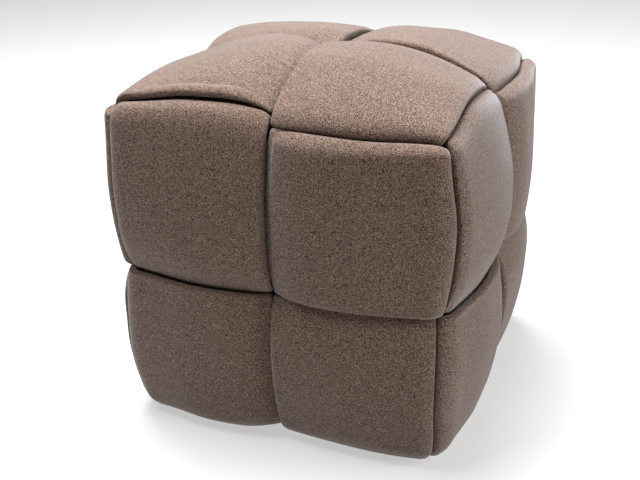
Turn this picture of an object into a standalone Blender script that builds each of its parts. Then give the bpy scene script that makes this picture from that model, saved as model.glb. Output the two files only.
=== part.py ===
"""Cube pouf stool: a stuffed square body, wrapped by six padded felt straps.

Two belts run round the sides and four straps run over the top. On every face they cross two by
two, over and under, so each face shows four padded panels in a pinwheel. A panel has two free
edges, and its two ends dive under the free edges of its neighbours.

Everything is first laid out on an ideal cube of half side HALF, centred on the origin. A point
has a place on the cube's surface and a height above it. round_cube gives it a place round the
softened cube edges, and plump then swells, tapers and stands the whole form on z = 0. Both act on
all pieces alike, so pieces that are apart on the cube stay apart.

Metres, +Z up, the front face looks along -Y, the origin is under the middle of the base.
"""

import bmesh
import bpy
import numpy as np

MM = 0.001

# the cube that the straps are wrapped on
HALF = 192 * MM           # half the side of the ideal cube
EDGE_RADIUS = 18 * MM     # rounding of the cube edges, under the straps

# the form that the stuffing gives
SIDE_SWELL = 7.5 * MM     # a side face stands this much proud in its middle
TOP_SWELL = 25.5 * MM     # the top does so by this much
TOP_FORWARD = 0.58        # the top's dome leans forward by this share of its height
PANEL_SWELL = 9.5 * MM    # a panel on a side bellies out by this much more
TOP_PANEL_SWELL = 13 * MM  # a panel on the top does so by this much
WEAVE_BLEND = 40 * MM     # run over which upright panels hand over to level ones
EDGE_POWER = 4            # a face's swell dies away inward with this power of the depth
FOOT_TAPER = 0.017        # share of the width drawn in at the foot
SAG = 4 * MM              # the seams at half height hang this much lower
DEPTH_SHARE = 1.018       # front to back against left to right
HEIGHT_SHARE = 0.991      # height against left to right

# a strap
LIP = 10.5 * MM           # thickness at its free edge
CROWN = 6 * MM            # the middle is thicker by this much
TONGUE = 5 * MM           # thickness where it runs under another strap
TUCK = 16 * MM            # that stretch is narrower by this much on each side
EDGE_ROLL = 7 * MM        # width of the roll on the hidden side of a free edge
PILLOW = 3.0              # exponent of the section: 2 is an ellipse, more is squarer
END_RISE = 24 * MM        # run over which a panel's end rises to full thickness
END_POWER = 2.4           # exponent of that rise
RAMP = 16 * MM            # run over which its hidden side rises with it
SHOULDER = 5 * MM         # plan rounding of a panel's corners
PAST_EDGE = 4 * MM        # a panel's end reaches this far round a cube edge
SEAM = 0.5 * MM           # from a free edge to the line that it meets
GAP = 0.5 * MM            # between the layers at a seam
SLACK = 3 * MM            # the layers part by this much more under the middle of a panel
SLACK_RUN = 20 * MM       # reached this far from a seam
THIN = 0.4                # share of SLACK that thins the strap there, the rest moves it in
BODY_DEPTH = 9 * MM       # from the layers' meeting surface down to the body
FOOT_DRAW = 18 * MM       # the body is drawn in at its foot, clear of the straps' turned ends

# the foot
FOOT = 13.5 * MM          # the base lies this far below the cube's lower face
FOOT_WRAP = 32 * MM       # straps reach this far in under the foot
STRAP_CLEAR = 1 * MM      # and stay this far above the floor
TONGUE_STOP = 22 * MM     # a hidden strap ends this far above the cube's lower edge
BASE_CLEAR = 8 * MM       # from the strap ends to the base pad
END_ROUND = 8 * MM        # rounding of a strap's closed end
END_STEPS = 4             # sections in that rounding
END_LEAST = 0.2           # share of its thickness that the closed end keeps

# how finely the solids are stepped
SEAM_STEPS = np.array([-38, -11, -1, 1.2, 5, 13, 25]) * MM   # from a seam into the panel
HALF_STEPS = np.array([-35, 0, 35]) * MM                    # from the middle of half a face
OUTER_POINTS = 9          # across a strap's outer side
ROLL_POINTS = 2           # round each edge
INNER_POINTS = 5          # across its hidden side
BEND_STEPS = np.array([-14, -8, -3, 3, 8, 14]) * MM         # across the bend at the foot
INNER_BEND_STEPS = np.array([-14, -5, 5, 14]) * MM          # the same on the hidden side
BEFORE_BEND = 28 * MM     # and one more section along a strap before it
POINT_SPREAD = 0.75       # power that draws a section's points in from its edges
BEND_MERGE = 0.03         # share of the half width within which the bend's points replace others
FACES_BEFORE, FACES_AFTER = -12, 16                         # half faces that the stations span
BODY_CELLS = 11           # along each side of the body
BODY_SPREAD = 0.85        # power that draws the body's points out to its edges

FELT_COLOUR = (0.118, 0.085, 0.070)
BASE_COLOUR = (0.030, 0.024, 0.021)


def ease(t):
    """Smooth step from 0 to 1, flat at both ends."""
    t = np.clip(t, 0, 1)
    return t * t * (3 - 2 * t)


def rise(t, power=END_POWER):
    """Quarter of a superellipse: leaves 0 upright and arrives at 1 level."""
    t = np.clip(t, 0, 1)
    return (1 - (1 - t) ** power) ** (1 / power)


def panel_swell(p, q):
    """Share of the panels' own swell at (p, q) on a face seen from outside, p right and q up.

    It is full in the middle of each panel and along the seams, and nothing at a panel's corners.
    Panels run up and down where p and q differ in sign, and across elsewhere. A panel's swell
    fades where its end turns round a cube edge.
    """
    across = np.clip(2 * np.abs(p) / HALF - 1, -1, 1)
    along = np.clip(2 * np.abs(q) / HALF - 1, -1, 1)
    full = 1 - (across * along) ** 2
    upright = ease(0.5 - p * q / (2 * WEAVE_BLEND ** 2))
    fade_up = 1 - ease(2 * np.abs(q) / HALF - 1)
    fade_across = 1 - ease(2 * np.abs(p) / HALF - 1)
    return full * (upright * fade_up + (1 - upright) * fade_across)


def plump(points):
    """Swell the faces and panels, draw in the foot, and stand the form on z = 0."""
    x, y, z = np.moveaxis(points, -1, 0)
    u, v, w = x / HALF, y / HALF, z / HALF
    near_x = np.sign(u) * np.clip(np.abs(u), 0, 1) ** EDGE_POWER
    near_y = np.sign(v) * np.clip(np.abs(v), 0, 1) ** EDGE_POWER
    near_top = np.clip(w, 0, 1) ** EDGE_POWER
    out_x = SIDE_SWELL * (1 - v ** 2) * (1 - w ** 2) * u
    out_x += PANEL_SWELL * panel_swell(np.sign(x) * y, z) * near_x
    out_y = SIDE_SWELL * (1 - u ** 2) * (1 - w ** 2) * v
    out_y += PANEL_SWELL * panel_swell(-np.sign(y) * x, z) * near_y
    share = (np.clip(w + 1, 0, None) / 2) ** 2
    up = TOP_SWELL * share * (1 - u ** 2) * (1 - v ** 2) * (1 - TOP_FORWARD * v)
    up += TOP_PANEL_SWELL * panel_swell(x, y) * near_top
    up -= SAG * (1 - np.clip(w, -1, 1) ** 2)
    taper = 1 - FOOT_TAPER * (np.clip(1 - w, 0, 2) / 2) ** 2
    across, along = (x + out_x) * taper, (y + out_y) * taper * DEPTH_SHARE
    return np.stack([across, along, (z + HALF + FOOT) * HEIGHT_SHARE + up], -1)


def round_cube(places, heights):
    """Place points at a height over the cube with its edges rounded."""
    core = np.clip(places, EDGE_RADIUS - HALF, HALF - EDGE_RADIUS)
    out = places - core
    out = out / np.linalg.norm(out, axis=-1, keepdims=True)
    return core + (EDGE_RADIUS + heights[..., None]) * out


def belt_place(s, v):
    """Place on the cube at a distance s round it from the middle of the front, and height v.

    Below the lower edge the place goes on under the base, on a smaller and smaller square.
    """
    s = np.mod(s + HALF, 8 * HALF) - HALF
    side = np.clip(np.floor((s + HALF) / (2 * HALF)).astype(int), 0, 3)
    under = np.clip(-v - HALF, 0, None)
    shrink = (HALF - under) / HALF
    p = (s - 2 * HALF * side) * shrink
    n = HALF * shrink
    x = np.choose(side, [p, n, -p, -n])
    y = np.choose(side, [-n, p, n, -p])
    return np.stack([x, y, np.maximum(v, -HALF)], -1)


def over_place(s, v):
    """Place on the cube at a distance s from the top's middle, v to the right.

    Positive s goes over the front edge, down the front and under the base, negative s the back.
    """
    way = np.abs(s)
    y = np.where(way <= HALF, way, np.where(way <= 3 * HALF, HALF, 4 * HALF - way))
    z = np.where(way <= HALF, HALF, np.where(way <= 3 * HALF, 2 * HALF - way, -HALF))
    shrink = 1 - np.clip(way / HALF - 3, 0, None)
    return np.stack([v * shrink, -np.sign(s) * y, z], -1)


def into_panel(s, panels):
    """Signed distance from s to the nearest seam, positive inside a panel."""
    depth = [np.minimum(s - start, end - s) for start, end in panels]
    return np.max(depth, axis=0)


def strap_sections(depth, wide, narrow, bend=None):
    """Closed sections (v, height) of a strap, one for each depth into a panel.

    wide and narrow are the strap's two edges in a panel and under another strap. The outer side
    is a superellipse, the edges roll round a quarter ellipse, and the hidden side is level. bend
    is the v at which a panel turns under the foot, where the section takes more points.
    """
    grow = rise(depth / END_RISE)
    slack = SLACK * np.clip(-depth / SLACK_RUN, 0, 1)
    under = -GAP / 2 - slack
    outer = under + (GAP / 2 + LIP + CROWN - under) * grow
    inner = under - TONGUE + THIN * slack
    inner = inner + (GAP / 2 - inner) * np.clip(depth / RAMP, 0, 1)
    waist = 0.5 + (LIP / 2 / (LIP + CROWN) - 0.5) * grow
    mid = inner + (outer - inner) * waist
    spread = rise(depth / SHOULDER)
    low = narrow[0] + (wide[0] - narrow[0]) * spread
    high = narrow[1] + (wide[1] - narrow[1]) * spread
    centre = ((low + high) / 2)[:, None]
    half = ((high - low) / 2)[:, None]
    inner, mid, outer = inner[:, None], mid[:, None], outer[:, None]

    a = np.cos(np.linspace(0, np.pi, OUTER_POINTS))
    a = np.sign(a) * np.abs(a) ** POINT_SPREAD
    b = np.linspace(-1, 1, INNER_POINTS + 2)[1:-1]
    if bend is not None:
        middle, reach = (wide[0] + wide[1]) / 2, (wide[1] - wide[0]) / 2
        a = around_bend(a, (bend + BEND_STEPS - middle) / reach)[::-1]
        b = around_bend(b, (bend + INNER_BEND_STEPS - middle) / (reach - EDGE_ROLL))
    top_v = centre + half * a
    top_h = mid + (outer - mid) * (1 - np.abs(a) ** PILLOW) ** (1 / PILLOW)
    turn = np.linspace(0, np.pi / 2, ROLL_POINTS + 1)[1:]
    roll_in = EDGE_ROLL * (1 - np.cos(turn))
    roll_h = mid - (mid - inner) * np.sin(turn)
    flat_v = centre + (half - EDGE_ROLL) * b
    v = [top_v, centre - half + roll_in, flat_v, (centre + half - roll_in)[:, ::-1]]
    h = [top_h, roll_h, inner + 0 * flat_v, roll_h[:, ::-1]]
    return np.concatenate(v, 1), np.concatenate(h, 1)


def around_bend(shares, bend_shares):
    """Sorted shares of a section's width, with those in the bend replaced by its own."""
    outside = (shares < bend_shares[0] - BEND_MERGE) | (shares > bend_shares[-1] + BEND_MERGE)
    return np.sort(np.concatenate([shares[outside], bend_shares]))


def strap_stations(seams, first, last):
    """Stations along a strap from first to last, close together at its seams.

    A seam is given as its place and the direction, 1 or -1, in which the panel lies.
    """
    stations = [place + way * step for place, way in seams for step in SEAM_STEPS]
    for half_face in range(FACES_BEFORE, FACES_AFTER):
        stations += list((half_face + 0.5) * HALF + HALF_STEPS)
    stations = np.array(stations)
    stations = stations[(stations >= first) & (stations < last)]
    return np.unique(np.round(stations, 6))


def quarter_turns(points, turns):
    """Turn points about Z by a number of right angles, counter-clockwise from above."""
    c, s = [(1, 0), (0, 1), (-1, 0), (0, -1)][turns % 4]
    x, y, z = np.moveaxis(points, -1, 0)
    return np.stack([c * x - s * y, s * x + c * y, z], -1)


def felt(name, colour):
    """Matt wool felt."""
    material = bpy.data.materials.new(name)
    material.use_nodes = True
    shader = material.node_tree.nodes["Principled BSDF"]
    shader.inputs["Base Color"].default_value = (*colour, 1)
    shader.inputs["Roughness"].default_value = 0.95
    shader.inputs["Metallic"].default_value = 0.0
    return material


def add_piece(name, points, faces, colour):
    """Make one object of points and faces, shaded smooth."""
    mesh = bpy.data.meshes.new(name)
    mesh.from_pydata(points.reshape(-1, 3).tolist(), [], faces)
    mesh.update()
    mesh.shade_smooth()
    mesh.materials.append(felt(name + "_felt", colour))
    piece = bpy.data.objects.new(name, mesh)
    bpy.context.scene.collection.objects.link(piece)
    return piece


def skin(rows, columns, ring):
    """Faces round a sweep of closed sections; a ring joins its last section to its first."""
    faces = []
    for i in range(rows if ring else rows - 1):
        after = (i + 1) % rows
        for j in range(columns):
            k = (j + 1) % columns
            faces.append((i * columns + j, i * columns + k, after * columns + k, after * columns + j))
    if not ring:
        faces.append(tuple(range(columns - 1, -1, -1)))
        faces.append(tuple(range((rows - 1) * columns, rows * columns)))
    return faces


def stand_clear(points):
    """Keep a strap's underside just above the floor, flat where it would reach lower."""
    points[..., 2] = np.maximum(points[..., 2], STRAP_CLEAR)
    return points


def make_belt(name, upper):
    """A closed belt round the sides, over in the upper right or the lower left panels."""
    side = 2 * HALF
    reach = HALF + PAST_EDGE
    if upper:
        panels = [(side * k + SEAM, side * k + reach - SEAM) for k in range(-1, 5)]
        wide = (SEAM, HALF - PAST_EDGE - SEAM)
        narrow = (SEAM + TUCK, HALF - PAST_EDGE - TUCK)
    else:
        panels = [(side * k - reach + SEAM, side * k - SEAM) for k in range(-1, 6)]
        wide = (-(HALF + FOOT_WRAP), -SEAM)
        narrow = (TONGUE_STOP - HALF, -SEAM - TUCK)
    seams = [(start, 1) for start, end in panels] + [(end, -1) for start, end in panels]
    stations = strap_stations(seams, -HALF, 7 * HALF)
    v, h = strap_sections(into_panel(stations, panels), wide, narrow, None if upper else -HALF)
    s = np.repeat(stations[:, None], v.shape[1], 1)
    points = stand_clear(plump(round_cube(belt_place(s, v), h)))
    return add_piece(name, points, skin(*v.shape, ring=True), FELT_COLOUR)


def make_over_strap(name, turns):
    """A strap over the top, ending under the base at one end and behind a panel at the other.

    Unturned it runs front to back over the left half.
    """
    end_under = -(3 * HALF + FOOT_WRAP)
    end_hidden = 3 * HALF - TONGUE_STOP
    front = (HALF - PAST_EDGE + SEAM, 2 * HALF - SEAM)
    top = (-(HALF + PAST_EDGE - SEAM), -SEAM)
    back = (end_under - 1, -(2 * HALF + SEAM))
    panels = [front, top, back]
    seams = [(front[0], 1), (front[1], -1), (top[0], 1), (top[1], -1), (back[1], -1)]
    foot_bend = np.append(BEND_STEPS, BEFORE_BEND) - 3 * HALF
    closing = end_under + END_ROUND * (1 - np.cos(np.linspace(0, np.pi / 2, END_STEPS)))
    stations = np.concatenate([strap_stations(seams, foot_bend[-1], end_hidden), [end_hidden]])
    stations = np.unique(np.round(np.concatenate([stations, foot_bend, closing]), 6))
    wide = (-(HALF - PAST_EDGE - SEAM), -SEAM)
    narrow = (-(HALF - PAST_EDGE - TUCK), -SEAM - TUCK)
    v, h = strap_sections(into_panel(stations, panels), wide, narrow)
    level = h.mean(1, keepdims=True)
    to_go = np.clip(1 - (stations - end_under) / END_ROUND, 0, 1)
    closed = np.maximum(np.sqrt(1 - to_go ** 2), END_LEAST)
    h = level + (h - level) * closed[:, None]
    s = np.repeat(stations[:, None], v.shape[1], 1)
    points = round_cube(over_place(s, v), h)
    points = stand_clear(plump(quarter_turns(points, turns)))
    return add_piece(name, points, skin(*v.shape, ring=False), FELT_COLOUR)


def make_body(name):
    """The stuffed body inside the straps, with the flat base pad that the pouf rests on."""
    bm = bmesh.new()
    bmesh.ops.create_cube(bm, size=2)
    bmesh.ops.subdivide_edges(bm, edges=bm.edges, cuts=BODY_CELLS - 1, use_grid_fill=True)
    mesh = bpy.data.meshes.new(name)
    bm.to_mesh(mesh)
    bm.free()
    places = np.empty(3 * len(mesh.vertices))
    mesh.vertices.foreach_get("co", places)
    places = places.reshape(-1, 3)
    places = np.sign(places) * np.abs(places) ** BODY_SPREAD * HALF
    inward = HALF - np.abs(places[:, :2]).max(1)
    pad = (places[:, 2] < -HALF + MM) & (inward > FOOT_WRAP + BASE_CLEAR)
    points = round_cube(places, np.where(pad, FOOT, -BODY_DEPTH))
    near_foot = 1 - ease((points[:, 2:] + HALF) / (2 * TONGUE_STOP))
    points[:, :2] *= 1 - FOOT_DRAW / HALF * near_foot
    points = plump(points)
    mesh.vertices.foreach_set("co", points.ravel())
    mesh.update()
    mesh.shade_smooth()
    mesh.materials.append(felt(name + "_felt", BASE_COLOUR))
    piece = bpy.data.objects.new(name, mesh)
    bpy.context.scene.collection.objects.link(piece)
    return piece


for old in list(bpy.data.objects):
    bpy.data.objects.remove(old)

make_body("body")
make_belt("belt_upper", upper=True)
make_belt("belt_lower", upper=False)
OVER_STRAPS = ("strap_left", "strap_front", "strap_right", "strap_back")
for number, strap in enumerate(OVER_STRAPS):
    make_over_strap(strap, number)
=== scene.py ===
"""Cube pouf stool, dressed: a stuffed body wrapped by six padded straps of wool felt.

Every strap is one closed surface: a padded section carried along the strap's path over an ideal
cube, in fine steps. The same few maps as in the solids then round the cube's edges, swell its
faces and stand it on the floor, so each piece fills the space that its solid holds.
"""

import bpy
import numpy as np
from bpy.props import FloatProperty, FloatVectorProperty, PointerProperty
from mathutils import Matrix, Vector


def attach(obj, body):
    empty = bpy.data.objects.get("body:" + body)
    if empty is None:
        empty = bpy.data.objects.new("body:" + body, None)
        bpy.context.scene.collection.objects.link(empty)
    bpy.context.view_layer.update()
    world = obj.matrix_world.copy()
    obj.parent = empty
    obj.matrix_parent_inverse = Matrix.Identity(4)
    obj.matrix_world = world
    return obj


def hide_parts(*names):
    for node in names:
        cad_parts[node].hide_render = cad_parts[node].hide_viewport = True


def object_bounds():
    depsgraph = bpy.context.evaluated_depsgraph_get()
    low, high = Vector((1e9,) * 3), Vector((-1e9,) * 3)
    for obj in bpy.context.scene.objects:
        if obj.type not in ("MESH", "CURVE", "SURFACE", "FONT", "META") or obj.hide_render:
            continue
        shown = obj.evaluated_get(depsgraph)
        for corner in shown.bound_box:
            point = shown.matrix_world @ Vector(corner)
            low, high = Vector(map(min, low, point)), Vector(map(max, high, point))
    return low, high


bl_info = {
    "name": "Felt cube pouf",
    "version": (1, 0, 0),
    "blender": (4, 5, 0),
    "location": "3D View > Sidebar > Pouf",
    "description": "Dresses a cube pouf in padded straps of wool felt",
    "category": "Object",
}

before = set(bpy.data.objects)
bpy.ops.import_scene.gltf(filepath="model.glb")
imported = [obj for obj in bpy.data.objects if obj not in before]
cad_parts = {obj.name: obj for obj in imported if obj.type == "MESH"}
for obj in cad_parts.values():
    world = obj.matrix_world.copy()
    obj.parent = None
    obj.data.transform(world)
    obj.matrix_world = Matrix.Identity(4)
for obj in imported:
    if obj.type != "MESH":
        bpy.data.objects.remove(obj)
CAD_LOW, CAD_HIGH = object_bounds()

MM = 0.001
PROUD = 32.1              # mm, from the ideal cube's side to the swelled belts' middle
HALF_SIDE = (CAD_HIGH[0] - CAD_LOW[0]) / 2 / MM - PROUD

OVER_STRAPS = ("strap_left", "strap_front", "strap_right", "strap_back")
LIFTED = 1                # the strap whose lip gapes, number in that list

# the form
WEAVE_BLEND = 40 * MM     # how fast a panel's run turns from upright to level at a face's middle
NEAR_POWER = 4            # the higher, the closer to a face its swell is kept
SEAM_BLEND = 4            # how fast the left side's swell changes at half height
LOWEST_EIGHTH = -0.75     # where it starts, in half sides above the middle
FOOT_SQUARE_HEIGHT = 50 * MM
DENT_WAVES = (0.2, 0.09, 24)        # longest and shortest wave in metres, and how many

# a strap's section
END_POWER = 2.4           # exponents of the rises: 2 is a circle, more is squarer
EDGE_POWER = 2.5
OVER_POWER = 2
SLACK_RUN = 20 * MM       # the hidden layers part over this run
SLACK_SHARE = 0.4         # the tongue thickens by this share of the slack
ROLL_POINTS = 8           # points over the quarter turn of an edge's roll
INSIDE = slice(2, -2, 3)  # which of the points over the width the hidden side keeps

# the small creases and the lifted lip
PINCH_WAVES = (0.013, 0.006, 9)     # as DENT_WAVES
PINCH_PLACE = 7 * MM      # the creases are deepest this far from the seam
PINCH_RUN = 14 * MM       # and die away over this run
PINCH_LEAST = 0.2         # share of their depth where the felt isn't gathered
GAPE_PLACE = 0.6          # the lip gapes most here, as a share of the panel's length
GAPE_REACH = 0.42         # and closes this far from there
LIFT_RUN = 26 * MM        # the lift dies away over this run from the lip
FOLD_PLACE = 11 * MM      # the fold lies this far in from the lip
FOLD_WIDTH = 4 * MM
CLOSING_RUN = 8 * MM      # a strap's hidden end closes over this run
CLOSING_LEAST = 0.1       # to this share of its thickness

# the body
PAD_CLEARANCE = 8 * MM    # from the straps' turned ends to the base pad
PAD_RISE = 5 * MM
FOOT_INSET = 18 * MM      # the foot is drawn in by this much
FOOT_INSET_HEIGHT = 44 * MM

# steps of the surfaces: finest at a bend, coarsest away from it, and the run between them
PATH_STEPS = (0.7 * MM, 4 * MM, 28 * MM)
WIDTH_STEPS = (0.7 * MM, 4 * MM, 26 * MM)
RING_STEPS = (-1 * MM, -7 * MM, 30 * MM)
ROUND_STEPS = (2 * MM, 7 * MM, 30 * MM)
STEP_SAMPLES = 40000

# the studio
FLOOR_REACH = 9           # metres each way
FLOOR_POINTS = 9
AIM = (0, 0, 0.2)         # what the lights face
LIGHTS = (                # name, place, size, power
    ("overhead", (-0.4, 0.4, 2.1), 1.2, 112),
    ("right_side", (2.4, 0.0, 1.3), 1.4, 50),
    ("front_left", (-0.8, -0.9, 2.6), 0.8, 31),
)
WORLD_STRENGTH = 0.03
CAMERA_ANGLES = (22.25, 24.66, -1.34)         # azimuth, elevation and roll in degrees
CAMERA_TARGET = (-0.0252, 0, 0.1728)
CAMERA_DISTANCE = 1.2775
SENSOR = 36
LENS_SHARE = 1.5273       # focal length against the sensor's width


def linear(srgb_hex):
    """Linear red, green and blue of an sRGB hex value."""
    srgb = np.array([int(srgb_hex[i:i + 2], 16) for i in (0, 2, 4)]) / 255
    low = srgb <= 0.04045
    return tuple(np.where(low, srgb / 12.92, ((srgb + 0.055) / 1.055) ** 2.4))


def length(name, millimetres, description):
    """A property that holds a length."""
    return FloatProperty(name=name, default=millimetres * MM, unit="LENGTH", precision=4,
                         description=description)


def share(name, default, description):
    """A property that holds a plain number."""
    return FloatProperty(name=name, default=default, precision=3, description=description)


def colour(name, srgb_hex, description):
    """A property that holds a colour."""
    return FloatVectorProperty(name=name, subtype="COLOR", size=3, min=0, max=1,
                               default=linear(srgb_hex), description=description)


class PoufForm(bpy.types.PropertyGroup):
    """The ideal cube and the form that the stuffing gives it."""

    half: length("Half side", HALF_SIDE, "Half the side of the ideal cube")
    edge_radius: length("Edge radius", 18, "Rounding of the cube's edges")
    side_swell: length("Side swell", 7.5, "A side face stands this much proud in its middle")
    swell_lean: share("Swell lean", 0.5, "The right side swells more, the left less, by this share")
    top_swell: length("Top swell", 25.5, "The top does so by this much")
    top_forward: share("Top forward", 0.58, "The dome leans forward by this share of its height")
    top_right: share("Top right", 0.15, "And to the right by this share")
    front_rise: length("Front rise", 4, "The top's front left corner stands this much higher")
    back_fall: length("Back fall", 5, "The top's back right corner lies this much lower")
    front_flat: share("Front flat", 0.45, "That panel's swell is less by this share at its lip")
    left_share: share("Left share", 0.4, "The left side's upper panels swell by this share only")
    panel_swell: length("Panel swell", 9.5, "A side's panel bellies out by this much more")
    top_panel_swell: length("Top panel swell", 13, "A panel on the top does so by this much")
    foot_taper: share("Foot taper", 0.017, "Share of the width drawn in at the foot")
    foot_draw: share("Foot draw", 0.025, "Share of it drawn in more over the lowest eighth")
    foot_square: share("Foot square", 0.45, "The left foot edge is squarer by this share")
    sag: length("Sag", 4, "The seams at half height hang this much lower")
    depth_share: share("Depth share", 1.018, "Front to back against left to right")
    height_share: share("Height share", 0.991, "Height against left to right")
    foot: length("Foot", 13.5, "The base lies this far below the ideal cube")
    dent: length("Dents", 0.8, "Unevenness of the stuffing")


class PoufStrap(bpy.types.PropertyGroup):
    """The padded straps."""

    lip: length("Lip", 11, "Thickness at a free edge")
    crown: length("Crown", 5, "The middle is thicker by this much")
    edge_run: length("Edge run", 8, "Run over which a free edge rounds into the face")
    crisp_run: length("Crisp edge run", 4.5, "The same for a free edge along a cube edge")
    tongue: length("Tongue", 5, "Thickness where a strap runs under another")
    tuck: length("Tuck", 16, "That stretch is narrower by this much on each side")
    edge_roll: length("Edge roll", 7, "Roll on the hidden side of a free edge")
    end_rise: length("End rise", 24, "Run over which a panel rises from its end at a cube edge")
    inner_rise: length("Inner rise", 58, "The same from its end in the middle of a face")
    over_rise: length("Over rise", 48, "The same for a strap over the top")
    left_rise: length("Left rise", 32, "The same for that strap's end at the top's left")
    seam_height: share("Seam height", 0.05, "Share of its thickness that it has at the inner end")
    top_lip: length("Top lip", 4.5, "The upper belt's top edge is thicker by this much")
    bevel: length("Bevel", 9, "That edge is bevelled by this much")
    bevel_run: length("Bevel run", 9, "Over this run")
    retreat: length("Retreat", 7, "The top's front left lip lies this far in from the others")
    reach: length("Reach", 6, "That panel reaches this much further down the left side")
    lift: length("Lifted lip", 2.5, "And gapes by this much")
    fold: length("Lip fold", 1.8, "Depth of the fold along it")
    ramp: length("Ramp", 16, "Run over which its hidden side rises with it")
    shoulder: length("Shoulder", 4, "Plan rounding of a panel's corners")
    past_edge: length("Past the edge", 4, "A panel's end reaches this far round a cube edge")
    seam: length("Seam", 0.4, "From a free edge to the line that it meets")
    gap: length("Gap", 0.5, "Between the layers at a seam")
    slack: length("Slack", 3, "The hidden layers part by this much more under a panel")
    foot_wrap: length("Foot wrap", 32, "Straps reach this far in under the foot")
    floor_clear: length("Floor clearance", 1, "Straps stay this far above the floor")
    hidden_end: length("Hidden end", 22, "A hidden strap ends this far above the foot")
    pinch: length("Pinches", 1.1, "Depth of the small creases at a tucked end")
    body_depth: length("Body depth", 9, "From the straps' meeting surface down to the body")


class PoufFinish(bpy.types.PropertyGroup):
    """Colours of the felt, the base cloth and the floor, and the floor's glow."""

    felt_dark: colour("Dark fibre", "2f241d", "Darkest fibre in the felt's blend")
    felt_mid: colour("Middle fibre", "5e483d", "The felt's main colour")
    felt_light: colour("Light fibre", "8b7668", "Lightest fibre in the felt's blend")
    bloom: colour("Bloom", "e6ebf2", "Colour of the loose surface fibres at a grazing angle")
    base_cloth: colour("Base cloth", "2a2522", "Cloth under the pouf")
    floor: colour("Floor", "a8a8a8", "Studio floor")
    floor_glow: share("Floor glow", 0.5, "Strength of the light through the paper, even all over")


# ---------------------------------------------------------------- shapes on the ideal cube


def ease(t):
    """Smooth step: 3t^2 - 2t^3 for t held between 0 and 1."""
    t = np.clip(t, 0, 1)
    return t * t * (3 - 2 * t)


def rise(t, power=END_POWER):
    """Quarter superellipse: (1 - (1 - t)^power)^(1 / power), upright at 0 and level at 1."""
    t = np.clip(t, 0, 1)
    return (1 - (1 - t) ** power) ** (1 / power)


def panel_swell(p, q, half):
    """Share of a panel's own swell at (p, q) on a face, p right and q up from its middle.

    One minus the squared product of the two distances from a panel's middle lines, faded out by
    a smooth step over the outer half of a face along the panel's length.
    """
    across = np.clip(2 * np.abs(p) / half - 1, -1, 1)
    along = np.clip(2 * np.abs(q) / half - 1, -1, 1)
    full = 1 - (across * along) ** 2
    upright = ease(0.5 - p * q / (2 * WEAVE_BLEND ** 2))
    fade_up = 1 - ease(2 * np.abs(q) / half - 1)
    fade_across = 1 - ease(2 * np.abs(p) / half - 1)
    return full * (upright * fade_up + (1 - upright) * fade_across)


def waves(points, longest, shortest, count, seed):
    """Uneven field from -1 to 1: the mean of sine waves in seeded random directions."""
    chance = np.random.default_rng(seed)
    total = np.zeros(points.shape[:-1])
    for _ in range(count):
        way = chance.normal(size=points.shape[-1])
        way *= 2 * np.pi / chance.uniform(shortest, longest) / np.linalg.norm(way)
        total += np.sin(points @ way + chance.uniform(0, 2 * np.pi))
    return total / np.sqrt(count)


def plump(points, form):
    """Swell faces and panels, draw in the foot and stand the form on z = 0.

    u, v and w are the place as shares of the half side. Each side moves out by a dome,
    (1 - v^2)(1 - w^2), and by its panels' swell, which is less on the left side's upper panels.
    The right side's dome is higher and the left side's lower, by a share that grows with u. The
    top moves up likewise, by a share that grows with the square of the height, and more in its
    front half and to the right. Its front left panel swells less towards its lip. Its front left
    corner rises by a linear share of the way left times the square of the way forward, and its
    back right corner falls by u v. The seams at half height sag by 1 - w^2. The width shrinks
    with the square of the depth below the top, and once more with the square of the depth into
    the lowest eighth. Under FOOT_SQUARE_HEIGHT the left side is lowered by a share that grows
    with the square of the depth, which makes the foot's edge squarer there. Seeded waves dent
    every face a little.
    """
    x, y, z = np.moveaxis(points, -1, 0)
    u, v, w = x / form.half, y / form.half, z / form.half
    near_x = np.sign(u) * np.clip(np.abs(u), 0, 1) ** NEAR_POWER
    near_y = np.sign(v) * np.clip(np.abs(v), 0, 1) ** NEAR_POWER
    near_top = np.clip(w, 0, 1) ** NEAR_POWER
    out_x = form.side_swell * (1 - v ** 2) * (1 - w ** 2) * u * (1 + form.swell_lean * u)
    belly = form.panel_swell * (1 - (1 - form.left_share) * (u < 0) * ease(0.5 + SEAM_BLEND * w))
    out_x += belly * panel_swell(np.sign(x) * y, z, form.half) * near_x
    out_y = form.side_swell * (1 - u ** 2) * (1 - w ** 2) * v
    out_y += form.panel_swell * panel_swell(-np.sign(y) * x, z, form.half) * near_y
    lifted = (np.clip(w + 1, 0, None) / 2) ** 2
    up = form.top_swell * lifted * (1 - u ** 2) * (1 - v ** 2) * (1 - form.top_forward * v)
    up *= 1 + form.top_right * u
    flat = 1 - form.front_flat * ease(-2 * u) * np.clip(-v, 0, 1) ** 2
    up += form.top_panel_swell * panel_swell(x, y, form.half) * near_top * flat
    up += form.front_rise * near_top * (1 - u) / 2 * ((1 - v) / 2) ** 2
    up -= form.back_fall * near_top * np.clip(u, 0, 1) * np.clip(v, 0, 1)
    up -= form.sag * (1 - np.clip(w, -1, 1) ** 2)
    dents = form.dent * waves(points, *DENT_WAVES, seed=4)
    out_x += dents * near_x
    out_y += dents * near_y
    up += dents * near_top
    taper = 1 - form.foot_taper * (np.clip(1 - w, 0, 2) / 2) ** 2
    taper -= form.foot_draw * np.clip((LOWEST_EIGHTH - w) / (1 + LOWEST_EIGHTH), 0, 1) ** 2
    across, along = (x + out_x) * taper, (y + out_y) * taper * form.depth_share
    height = (z + form.half + form.foot) * form.height_share + up
    low = np.clip(1 - height / FOOT_SQUARE_HEIGHT, 0, 1) ** 2
    height = height * (1 - form.foot_square * np.clip((1 - u) / 2, 0, 1) * low)
    return np.stack([across, along, height], -1)


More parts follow.
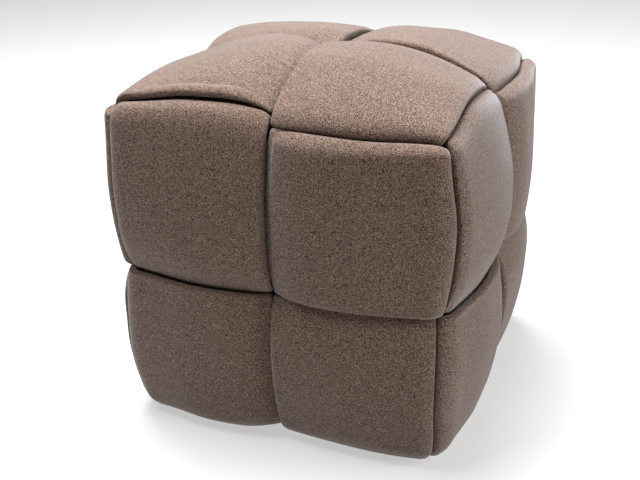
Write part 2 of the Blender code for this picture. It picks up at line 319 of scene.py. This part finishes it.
def round_cube(places, heights, form):
    """Places at a height over the rounded cube: out from a smaller cube by radius plus height."""
    core = np.clip(places, form.edge_radius - form.half, form.half - form.edge_radius)
    out = places - core
    out = out / np.linalg.norm(out, axis=-1, keepdims=True)
    return core + (form.edge_radius + heights[..., None]) * out


def belt_place(s, v, half):
    """Place at a distance s round the cube from the middle of the front, and at height v.

    Past the lower or the upper edge the place goes on over the base or the top, on a square that
    shrinks by as much as it has gone past.
    """
    s = np.mod(s + half, 8 * half) - half
    side = np.clip(np.floor((s + half) / (2 * half)).astype(int), 0, 3)
    shrink = 1 - np.clip(np.abs(v) / half - 1, 0, 1)
    p = (s - 2 * half * side) * shrink
    n = half * shrink
    x = np.choose(side, [p, n, -p, -n])
    y = np.choose(side, [-n, p, n, -p])
    return np.stack([x, y, np.clip(v, -half, half)], -1)


def over_place(s, v, half):
    """Place at a distance s from the top's middle and v to the right of it.

    Positive s goes over the front edge, down the front and under the base, negative s the back.
    Under the base the strip narrows, as the foot's square does.
    """
    way = np.abs(s)
    y = np.where(way <= half, way, np.where(way <= 3 * half, half, 4 * half - way))
    z = np.where(way <= half, half, np.where(way <= 3 * half, 2 * half - way, -half))
    shrink = 1 - np.clip(way / half - 3, 0, None)
    return np.stack([v * shrink, -np.sign(s) * y, z], -1)


# ---------------------------------------------------------------- a padded strap


def into_panel(s, panels):
    """Signed distances from s to its panel's start and to its end, positive inside the panel."""
    both = np.array([(s - start, end - s) for start, end in panels])
    own = both.min(1).argmax(0)
    return both[own, 0, np.arange(len(s))], both[own, 1, np.arange(len(s))]


def graded(first, last, marks, finest, coarsest, reach):
    """Stations from first to last, a step of finest apart at the marks.

    The step widens with a smooth step to coarsest at a distance of reach from the nearest mark.
    Stations stand where the running sum of one over the step passes whole numbers.
    """
    fine = np.linspace(first, last, STEP_SAMPLES)
    away = np.min(np.abs(fine[None] - np.array(marks)[:, None]), axis=0)
    step = finest + (coarsest - finest) * ease(away / reach)
    count = np.concatenate([[0], np.cumsum(np.diff(fine) / step[1:])])
    return np.interp(np.linspace(0, count[-1], int(np.ceil(count[-1])) + 1), count, fine)


def strap_sections(past_edge, past_seam, at_edge, over, wide, narrow, strap, across, inside):
    """Closed sections (v, height) of a strap, one for each pair of distances into a panel.

    past_edge is measured from the panel's end at a cube edge, past_seam from the other, and
    at_edge is the share of the height that the strap has reached on its way in from the cube
    edge. From the seam it grows from seam_height by a parabola over inner_rise, and the two
    shares are multiplied. The outer side rises from the free edges by a quarter superellipse over
    edge_run and carries a parabola of height crown between them. The edges roll under by a
    quarter ellipse, and the hidden side is level. across and inside are the points' places over
    the width, from -1 to 1, on the outer and hidden sides.
    """
    depth = np.minimum(past_edge, past_seam)
    before = strap.seam_height * np.clip(1 + past_seam / strap.edge_roll, 0, 1)
    beyond = 1 - (1 - np.clip(past_seam / strap.inner_rise, 0, 1)) ** 2
    grow = at_edge * (before + (1 - strap.seam_height) * beyond)
    slack = strap.slack * np.clip(-depth / SLACK_RUN, 0, 1)
    under = -strap.gap / 2 - slack
    full = strap.gap / 2 + strap.lip
    outer = under + (full - under) * grow
    inner = under - strap.tongue + SLACK_SHARE * slack
    inner = inner + (strap.gap / 2 - inner) * np.clip(depth / strap.ramp, 0, 1)
    mid = inner + (outer - inner) * 0.5
    spread = rise(depth / strap.shoulder)
    low = narrow[0] + (wide[0] - narrow[0]) * spread
    high = narrow[1] + (wide[1] - narrow[1]) * spread
    centre = ((low + high) / 2)[:, None]
    half = ((high - low) / 2)[:, None]
    inner, mid, outer, grow = inner[:, None], mid[:, None], outer[:, None], grow[:, None]

    a = across[::-1]
    crisp = a < 0 if over else a > 0
    run = np.where(crisp, strap.crisp_run, strap.edge_run)
    top_v = centre + half * a
    top_h = mid + (outer - mid) * rise(half * (1 - np.abs(a)) / run, EDGE_POWER)
    top_h = top_h + strap.crown * grow * (1 - a ** 2)
    turn = np.linspace(0, np.pi / 2, ROLL_POINTS)[1:]
    roll_in = strap.edge_roll * (1 - np.cos(turn))
    roll_h = mid - (mid - inner) * np.sin(turn)
    flat_v = centre + (half - strap.edge_roll) * inside
    v = [top_v, centre - half + roll_in, flat_v, (centre + half - roll_in)[:, ::-1]]
    h = [top_h, roll_h, inner + 0 * flat_v, roll_h[:, ::-1]]
    return np.concatenate(v, 1), np.concatenate(h, 1)


def pinches(past_seam, v, strap, strength, seed):
    """Height of the small creases across a tucked end.

    Uneven waves along the seam, times a Gaussian of the distance from PINCH_PLACE.
    """
    crease = waves(v[..., None], *PINCH_WAVES, seed)
    near = np.exp(-((past_seam - PINCH_PLACE) / PINCH_RUN) ** 2)
    return strap.pinch * crease * (near * strength)[:, None]


def quarter_turns(points, turns):
    """Turn points about Z by a number of right angles, counter-clockwise from above."""
    c, s = [(1, 0), (0, 1), (-1, 0), (0, -1)][turns % 4]
    x, y, z = np.moveaxis(points, -1, 0)
    return np.stack([c * x - s * y, s * x + c * y, z], -1)


def skin(rows, columns, ring):
    """Faces over a grid of points whose rows are closed; a ring joins the last row to the first."""
    i, j = np.meshgrid(np.arange(rows if ring else rows - 1), np.arange(columns), indexing="ij")
    after, k = (i + 1) % rows, (j + 1) % columns
    quads = [i * columns + j, i * columns + k, after * columns + k, after * columns + j]
    faces = np.stack(quads, -1).reshape(-1, 4).tolist()
    if not ring:
        faces.append(list(range(columns - 1, -1, -1)))
        faces.append(list(range((rows - 1) * columns, rows * columns)))
    return faces


def make_piece(name, node, points, faces, material):
    """Make one smooth object that stands for a node of the frame."""
    mesh = bpy.data.meshes.new(name)
    mesh.from_pydata(points.reshape(-1, 3).tolist(), [], faces)
    mesh.update()
    mesh.shade_smooth()
    mesh.materials.append(material)
    piece = bpy.data.objects.new(name, mesh)
    bpy.context.scene.collection.objects.link(piece)
    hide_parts(node)
    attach(piece, "root")
    return piece


def stand_clear(points, strap):
    """Hold a strap's underside just above the floor, flat where it would reach lower."""
    points[..., 2] = np.maximum(points[..., 2], strap.floor_clear)
    return points


def belt_points(form, strap, upper):
    """Points of a belt round the sides, over in the upper right or the lower left panels.

    The upper belt's top edge is thicker by a cubic of the height, is bevelled by a linear ramp
    except on the left face, and lies lower there by reach, under the lifted lip.
    """
    half, past, seam, tuck = form.half, strap.past_edge, strap.seam, strap.tuck
    side = 2 * half
    if upper:
        panels = [(side * k + seam, side * k + half + past - seam) for k in range(-1, 5)]
        wide = (seam, half - past - seam)
        narrow = (seam + tuck, half - past - tuck)
        bends = []
    else:
        starts = [side * k - half - past * (k % 4 != 0) + seam for k in range(-1, 6)]
        panels = [(start, side * k - seam) for k, start in enumerate(starts, -1)]
        wide = (-half - strap.foot_wrap, -seam)
        narrow = (strap.hidden_end - half, -seam - tuck)
        bends = [-half]
    marks = [end for panel in panels for end in panel]
    stations = graded(-half, 7 * half, marks, *PATH_STEPS)[:-1]
    across = graded(*wide, [*wide, *bends], *WIDTH_STEPS)
    across = 2 * (across - wide[0]) / (wide[1] - wide[0]) - 1
    after_start, before_end = into_panel(stations, panels)
    past_edge, past_seam = (before_end, after_start) if upper else (after_start, before_end)
    high = wide[1] - strap.reach * (upper & (stations > 5 * half))
    edges = (wide[0], high)
    at_edge = rise(past_edge / strap.end_rise)
    v, h = strap_sections(past_edge, past_seam, at_edge, False, edges, narrow, strap, across,
                          across[INSIDE])
    depth = np.minimum(past_edge, past_seam)
    gathered = PINCH_LEAST + (1 - PINCH_LEAST) * ((not upper) & (np.abs(stations + half / 2) < half / 2))
    h = h + pinches(past_seam, v, strap, gathered, seed=21 + upper)
    if upper:
        up_the_belt = np.clip((v - wide[0]) / (wide[1] - wide[0]), 0, 1)
        in_bevel = np.clip(1 - (high[:, None] - v) / strap.bevel_run, 0, 1)
        outside = (h > strap.lip / 3) * rise(depth / strap.end_rise)[:, None]
        bevel = strap.bevel * (stations < 5 * half)[:, None]
        h = h + outside * (strap.top_lip * up_the_belt ** 3 - bevel * in_bevel)
    s = np.repeat(stations[:, None], v.shape[1], 1)
    points = plump(round_cube(belt_place(s, v, half), h, form), form)
    return stand_clear(points, strap)


def over_strap_points(form, strap, turns):
    """Points of a strap over the top, turned in under the foot at one end, hidden at the other.

    The lifted strap's lip gapes by a parabola along the panel, dying away by a square over
    LIFT_RUN, and its fold is a Gaussian along the lip.
    """
    half, past, seam, tuck = form.half, strap.past_edge, strap.seam, strap.tuck
    end_under = -(3 * half + strap.foot_wrap)
    end_hidden = 3 * half - strap.hidden_end
    early = strap.retreat if turns == LIFTED - 1 else 0
    further = strap.reach if turns == LIFTED else 0
    panels = [
        (half - past - early + seam, 2 * half - seam),
        (-(half + past + further - seam), -seam),
        (end_under - 1, -(2 * half + seam)),
    ]
    wide = (-(half - past - seam), -seam)
    narrow = (-(half - past - tuck), -seam - tuck)
    marks = [*panels[0], *panels[1], panels[2][1], -3 * half, end_under]
    stations = graded(end_under, end_hidden, marks, *PATH_STEPS)
    across = graded(*wide, wide, *WIDTH_STEPS)
    across = 2 * (across - wide[0]) / (wide[1] - wide[0]) - 1
    after_start, before_end = into_panel(stations, panels)
    past_edge, past_seam = after_start, before_end
    along = (stations + half + past + further) / (half + past + further)
    lifted = (turns == LIFTED) & (along > 0) & (along < 1)
    at_left = (turns == LIFTED) & (along < 0)
    edges = (wide[0] + strap.retreat * lifted - past * at_left, wide[1])
    at_edge = rise(past_edge / np.where(lifted, strap.left_rise, strap.over_rise), OVER_POWER)
    v, h = strap_sections(past_edge, past_seam, at_edge, True, edges, narrow, strap, across,
                          across[INSIDE])
    gathered = PINCH_LEAST + (1 - PINCH_LEAST) * ((turns == LIFTED) & (np.abs(stations) < half / 2))
    h = h + pinches(past_seam, v, strap, gathered, seed=31 + turns)
    if turns == LIFTED:
        gape = np.clip(1 - ((along - GAPE_PLACE) / GAPE_REACH) ** 2, 0, 1)[:, None]
        from_lip = v - wide[0] - strap.retreat
        h = h + strap.lift * gape * np.clip(1 - from_lip / LIFT_RUN, 0, 1) ** 2
        outside = h > strap.lip / 2
        crease = np.exp(-((from_lip - FOLD_PLACE) / FOLD_WIDTH) ** 2)
        h = h - outside * strap.fold * gape * crease
    level = h.mean(1, keepdims=True)
    closing = rise((stations - end_under) / CLOSING_RUN, OVER_POWER)
    h = level + (h - level) * np.maximum(closing, CLOSING_LEAST)[:, None]
    s = np.repeat(stations[:, None], v.shape[1], 1)
    points = round_cube(over_place(s, v, half), h, form)
    return stand_clear(plump(quarter_turns(points, turns), form), strap)


def body_points(form, strap):
    """Points of the stuffed body, ring by ring from the top's middle to the base's middle.

    A ring is a square on the ideal cube, sunk by body_depth, and lowered to the floor over the
    base pad. The foot is drawn in, clear of the straps' turned ends.
    """
    half = form.half
    pad_edge = half + strap.foot_wrap + PAD_CLEARANCE
    marks = [half, -half, -pad_edge]
    rings = graded(2 * half, -2 * half, marks, *RING_STEPS)
    corners = [half * k for k in (1, 3, 5)]
    round_it = graded(-half, 7 * half, corners, *ROUND_STEPS)[:-1]
    s, v = np.meshgrid(round_it, rings)
    onto_pad = ease((-v - pad_edge) / PAD_RISE)
    heights = -strap.body_depth + (strap.body_depth + form.foot) * onto_pad
    points = round_cube(belt_place(s, v, half), heights, form)
    near_foot = 1 - ease((points[..., 2:] + half) / FOOT_INSET_HEIGHT)
    points[..., :2] *= 1 - FOOT_INSET / half * near_foot * (1 - onto_pad[..., None])
    points = plump(points, form)
    points[..., 2] = np.where(onto_pad == 1, 0, points[..., 2])
    return points


# ---------------------------------------------------------------- materials


def add_node(tree, kind, sockets=None, **settings):
    """Add a node, set its properties, and fill its sockets with values or (node, output) links."""
    node = tree.nodes.new(kind)
    for key, value in settings.items():
        setattr(node, key, value)
    for key, value in (sockets or {}).items():
        if isinstance(value, tuple) and isinstance(value[0], bpy.types.Node):
            tree.links.new(value[0].outputs[value[1]], node.inputs[key])
        else:
            node.inputs[key].default_value = value
    return node


def new_material(name):
    """An empty material with its output node."""
    material = bpy.data.materials.new(name)
    material.use_nodes = True
    material.node_tree.nodes.clear()
    return material, material.node_tree


def ramp_colours(ramp, stops):
    """Set a colour ramp's stops, given as (place, linear colour)."""
    elements = ramp.color_ramp.elements
    while len(elements) < len(stops):
        elements.new(0.5)
    for element, (place, value) in zip(elements, stops):
        element.position = place
        element.color = (*value, 1)


def wool_felt(finish):
    """Wool felt, milled from fibres dyed dark and light and blended before felting.

    That gives the eye a soft matt surface, specked in three tones, with a pale bloom where it
    turns away. Real fibres are 0.03 mm; the specks are drawn at the 0.9 mm of their clumps.
    """
    material, tree = new_material("wool_felt_melange")
    place = add_node(tree, "ShaderNodeTexCoord")
    at = (place, "Object")
    speck = add_node(tree, "ShaderNodeTexNoise",
                     {"Vector": at, "Scale": 1 / (0.9 * MM), "Detail": 0.0})
    clump = add_node(tree, "ShaderNodeTexNoise",
                     {"Vector": at, "Scale": 1 / (3 * MM), "Detail": 3.0, "Roughness": 0.6})
    blend = add_node(tree, "ShaderNodeMix", {"Factor": 0.1, "A": (speck, "Fac"), "B": (clump, "Fac")},
                     data_type="FLOAT")
    tone = add_node(tree, "ShaderNodeValToRGB", {"Fac": (blend, "Result")})
    ramp_colours(tone, [(0.36, finish.felt_dark), (0.5, finish.felt_mid), (0.64, finish.felt_light)])
    bump = add_node(tree, "ShaderNodeBump",
                    {"Strength": 0.4, "Distance": 0.4 * MM, "Height": (blend, "Result")})
    shader = add_node(tree, "ShaderNodeBsdfPrincipled", {
        "Base Color": (tone, "Color"),
        "Roughness": 0.95,
        "Specular IOR Level": 0.2,
        "Sheen Weight": 0.4,
        "Sheen Roughness": 0.45,
        "Sheen Tint": (*finish.bloom, 1),
        "Normal": (bump, "Normal"),
    })
    add_node(tree, "ShaderNodeOutputMaterial", {"Surface": (shader, "BSDF")})
    return material


def base_cloth(finish):
    """Plain woven polyester base cloth: dark and dull, with a 2 mm grid of threads."""
    material, tree = new_material("woven_polyester_base_cloth")
    place = add_node(tree, "ShaderNodeTexCoord")
    weft = add_node(tree, "ShaderNodeTexWave",
                    {"Vector": (place, "Object"), "Scale": 1 / (2 * MM) / 20}, bands_direction="X")
    warp = add_node(tree, "ShaderNodeTexWave",
                    {"Vector": (place, "Object"), "Scale": 1 / (2 * MM) / 20}, bands_direction="Y")
    weave = add_node(tree, "ShaderNodeMath", {0: (weft, "Fac"), 1: (warp, "Fac")},
                     operation="MULTIPLY")
    tone = add_node(tree, "ShaderNodeValToRGB", {"Fac": (weave, "Value")})
    ramp_colours(tone, [(0.0, [0.6 * c for c in finish.base_cloth]), (1.0, finish.base_cloth)])
    bump = add_node(tree, "ShaderNodeBump",
                    {"Strength": 0.4, "Distance": 0.3 * MM, "Height": (weave, "Value")})
    shader = add_node(tree, "ShaderNodeBsdfPrincipled",
                      {"Base Color": (tone, "Color"), "Roughness": 0.85, "Normal": (bump, "Normal")})
    add_node(tree, "ShaderNodeOutputMaterial", {"Surface": (shader, "BSDF")})
    return material


def studio_floor(finish):
    """Seamless paper floor: one even tone, matt, and lit a little from behind the paper.

    That gives the eye a pale ground with no edge. Its only shadows are those that the lights cast.
    """
    material, tree = new_material("matt_paper_floor")
    shader = add_node(tree, "ShaderNodeBsdfPrincipled", {
        "Base Color": (*finish.floor, 1),
        "Roughness": 0.9,
        "Emission Color": (1, 1, 1, 1),
        "Emission Strength": finish.floor_glow,
    })
    add_node(tree, "ShaderNodeOutputMaterial", {"Surface": (shader, "BSDF")})
    return material


def shared(name, make, finish):
    """The material of that name, made if it isn't there yet."""
    return bpy.data.materials.get(name) or make(finish)


# ---------------------------------------------------------------- operators


class POUF_OT_body(bpy.types.Operator):
    """Make the stuffed body with its base cloth."""

    bl_idname = "pouf.body"
    bl_label = "Body"

    def execute(self, context):
        scene = context.scene
        points = body_points(scene.pouf_form, scene.pouf_strap)
        rows, columns = points.shape[:2]
        poles = np.array([points[0].mean(0), points[-1].mean(0)])
        rings = points[1:-1].reshape(-1, 3)
        faces = skin(rows - 2, columns, ring=False)[:-2]
        top, base, last = len(rings), len(rings) + 1, (rows - 3) * columns
        after = np.roll(np.arange(columns), -1)
        faces += [[top, int(k), j] for j, k in enumerate(after)]
        faces += [[base, last + j, last + int(k)] for j, k in enumerate(after)]
        cloth = shared("woven_polyester_base_cloth", base_cloth, scene.pouf_finish)
        make_piece("stuffed_body", "body", np.concatenate([rings, poles]), faces, cloth)
        return {"FINISHED"}


class POUF_OT_belts(bpy.types.Operator):
    """Make the two padded felt belts round the sides."""

    bl_idname = "pouf.belts"
    bl_label = "Belts"

    def execute(self, context):
        scene = context.scene
        felt = shared("wool_felt_melange", wool_felt, scene.pouf_finish)
        for node in ("belt_upper", "belt_lower"):
            points = belt_points(scene.pouf_form, scene.pouf_strap, node == "belt_upper")
            faces = skin(*points.shape[:2], ring=True)
            make_piece("felt_" + node, node, points, faces, felt)
        return {"FINISHED"}


class POUF_OT_over_straps(bpy.types.Operator):
    """Make the four padded felt straps that go over the top."""

    bl_idname = "pouf.over_straps"
    bl_label = "Over-the-top straps"

    def execute(self, context):
        scene = context.scene
        felt = shared("wool_felt_melange", wool_felt, scene.pouf_finish)
        for turns, node in enumerate(OVER_STRAPS):
            points = over_strap_points(scene.pouf_form, scene.pouf_strap, turns)
            faces = skin(*points.shape[:2], ring=False)
            make_piece("felt_" + node, node, points, faces, felt)
        return {"FINISHED"}


def area_light(name, place, size, power):
    """Set up a square soft light at a place, facing the pouf."""
    data = bpy.data.lights.new(name, "AREA")
    data.size = size
    data.energy = power
    lamp = bpy.data.objects.new(name, data)
    bpy.context.scene.collection.objects.link(lamp)
    lamp.location = place
    lamp.rotation_euler = (Vector(AIM) - Vector(place)).to_track_quat("-Z", "Y").to_euler()


class POUF_OT_stage(bpy.types.Operator):
    """Set up the floor, the lights and the camera."""

    bl_idname = "pouf.stage"
    bl_label = "Stage"

    def execute(self, context):
        scene = context.scene
        ticks = np.linspace(-1, 1, FLOOR_POINTS) * FLOOR_REACH
        x, y = np.meshgrid(ticks, ticks)
        mesh = bpy.data.meshes.new("floor")
        columns = len(ticks)
        i, j = np.meshgrid(np.arange(columns - 1), np.arange(columns - 1), indexing="ij")
        corner = i * columns + j
        quads = np.stack([corner, corner + 1, corner + columns + 1, corner + columns], -1)
        points = np.stack([x, y, 0 * x], -1).reshape(-1, 3)
        mesh.from_pydata(points.tolist(), [], quads.reshape(-1, 4).tolist())
        mesh.materials.append(shared("matt_paper_floor", studio_floor, scene.pouf_finish))
        floor = bpy.data.objects.new("studio_floor", mesh)
        scene.collection.objects.link(floor)

        for light in LIGHTS:
            area_light(*light)
        world = bpy.data.worlds.new("studio")
        scene.world = world
        world.use_nodes = True
        world.node_tree.nodes["Background"].inputs["Color"].default_value = (1, 1, 1, 1)
        world.node_tree.nodes["Background"].inputs["Strength"].default_value = WORLD_STRENGTH
        scene.view_settings.view_transform = "Standard"

        azimuth, elevation, roll = np.radians(CAMERA_ANGLES)
        target = Vector(CAMERA_TARGET)
        back = Vector((np.sin(azimuth) * np.cos(elevation), -np.cos(azimuth) * np.cos(elevation),
                       np.sin(elevation)))
        right = Vector((0, 0, 1)).cross(back).normalized()
        up = back.cross(right)
        turned_right = np.cos(roll) * right + np.sin(roll) * up
        turned_up = np.cos(roll) * up - np.sin(roll) * right
        data = bpy.data.cameras.new("photo_camera")
        data.sensor_fit = "HORIZONTAL"
        data.sensor_width = SENSOR
        data.lens = LENS_SHARE * SENSOR
        camera = bpy.data.objects.new("photo_camera", data)
        scene.collection.objects.link(camera)
        axes = Matrix((turned_right, turned_up, back)).transposed()
        camera.matrix_world = Matrix.Translation(target + CAMERA_DISTANCE * back) @ axes.to_4x4()
        scene.camera = camera
        return {"FINISHED"}


class POUF_PT_panel(bpy.types.Panel):
    """Lists the steps and the values that they use."""

    bl_label = "Pouf"
    bl_idname = "POUF_PT_panel"
    bl_space_type = "VIEW_3D"
    bl_region_type = "UI"
    bl_category = "Pouf"

    def draw(self, context):
        for step in STEPS:
            self.layout.operator(step.bl_idname)
        for group in (context.scene.pouf_form, context.scene.pouf_strap, context.scene.pouf_finish):
            box = self.layout.box()
            for key in group.__annotations__:
                box.prop(group, key)


GROUPS = {"pouf_form": PoufForm, "pouf_strap": PoufStrap, "pouf_finish": PoufFinish}
STEPS = (POUF_OT_body, POUF_OT_belts, POUF_OT_over_straps, POUF_OT_stage)
CLASSES = (*GROUPS.values(), *STEPS, POUF_PT_panel)


def register():
    """Register the classes and hang the property groups on the scene."""
    for each in CLASSES:
        bpy.utils.register_class(each)
    for name, group in GROUPS.items():
        setattr(bpy.types.Scene, name, PointerProperty(type=group))


def unregister():
    """Undo register."""
    for name in GROUPS:
        delattr(bpy.types.Scene, name)
    for each in reversed(CLASSES):
        bpy.utils.unregister_class(each)


def main():
    """Register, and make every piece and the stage."""
    register()
    bpy.ops.pouf.body()
    bpy.ops.pouf.belts()
    bpy.ops.pouf.over_straps()
    bpy.ops.pouf.stage()


if __name__ == "__main__":
    main()
